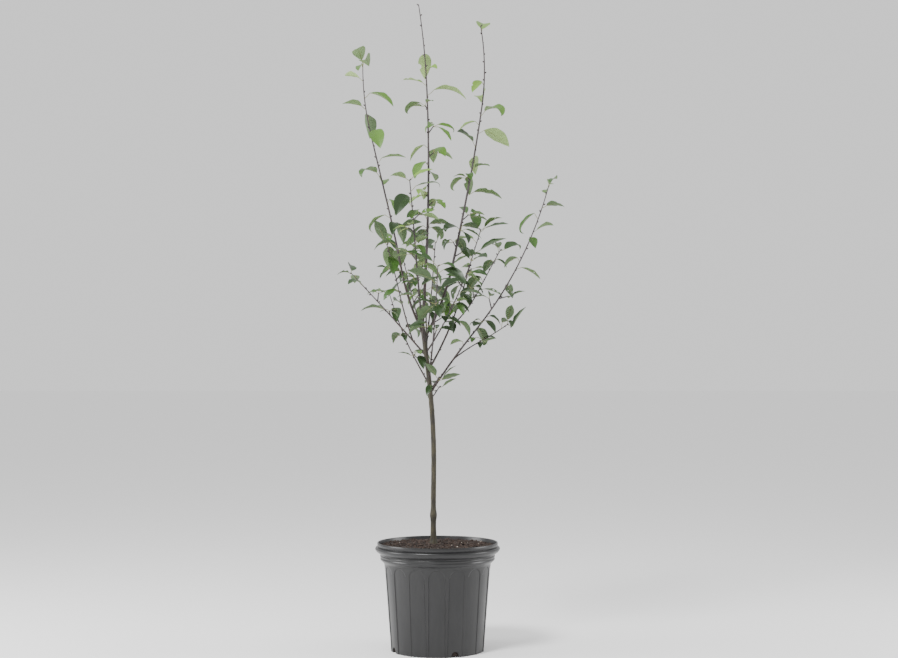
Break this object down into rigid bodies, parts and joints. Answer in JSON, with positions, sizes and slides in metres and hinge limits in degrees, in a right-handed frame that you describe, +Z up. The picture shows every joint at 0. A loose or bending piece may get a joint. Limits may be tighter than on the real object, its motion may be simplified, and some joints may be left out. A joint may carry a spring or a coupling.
{
  "type": "potted cherry tree",
  "caption": "Young cherry tree with upright shoots and sparse leaves, in a round fluted nursery pot filled with potting mix.",
  "frame": {"origin": "centre of the pot's flat underside", "axes": "+Z up along the tree, +X to the right as seen from the front, which is the -Y side"},
  "size_m": [0.5575, 0.4909, 1.6044],
  "materials": {
    "pot_plastic": "dark charcoal plastic with a soft satin sheen",
    "potting_mix": "coarse dark bark mix, moist and matte",
    "trunk_bark": "grey-brown young bark, olive near the soil, with small scars",
    "bough_bark": "smooth reddish brown to purplish grey young bark",
    "foliage": "green leaves, satin on top and paler below, on thin grey-brown twigs"
  },
  "bodies": {
    "root": {"bough_back_inner": "bough_bark", "bough_back_low": "bough_bark", "bough_back_mid": "bough_bark", "bough_front_low": "bough_bark", "bough_front_mid": "bough_bark", "bough_front_right": "bough_bark", "bough_leader": "bough_bark", "bough_left_inner": "bough_bark", "bough_left_low": "bough_bark", "bough_left_mid": "bough_bark", "bough_left_tall": "bough_bark", "bough_right_fork": "bough_bark", "bough_right_inner": "bough_bark", "bough_right_low": "bough_bark", "bough_right_mid": "bough_bark", "bough_right_tall": "bough_bark", "foliage_back_inner": "foliage", "foliage_back_low": "foliage", "foliage_back_mid": "foliage", "foliage_front_low": "foliage", "foliage_front_mid": "foliage", "foliage_front_right": "foliage", "foliage_leader": "foliage", "foliage_left_inner": "foliage", "foliage_left_low": "foliage", "foliage_left_mid": "foliage", "foliage_left_tall": "foliage", "foliage_right_fork": "foliage", "foliage_right_inner": "foliage", "foliage_right_low": "foliage", "foliage_right_mid": "foliage", "foliage_right_tall": "foliage", "foliage_spray_back": "foliage", "foliage_spray_left": "foliage", "foliage_spray_right": "foliage", "pot": "pot_plastic", "soil": "potting_mix", "trunk": "trunk_bark"}
  },
  "joints": []
}
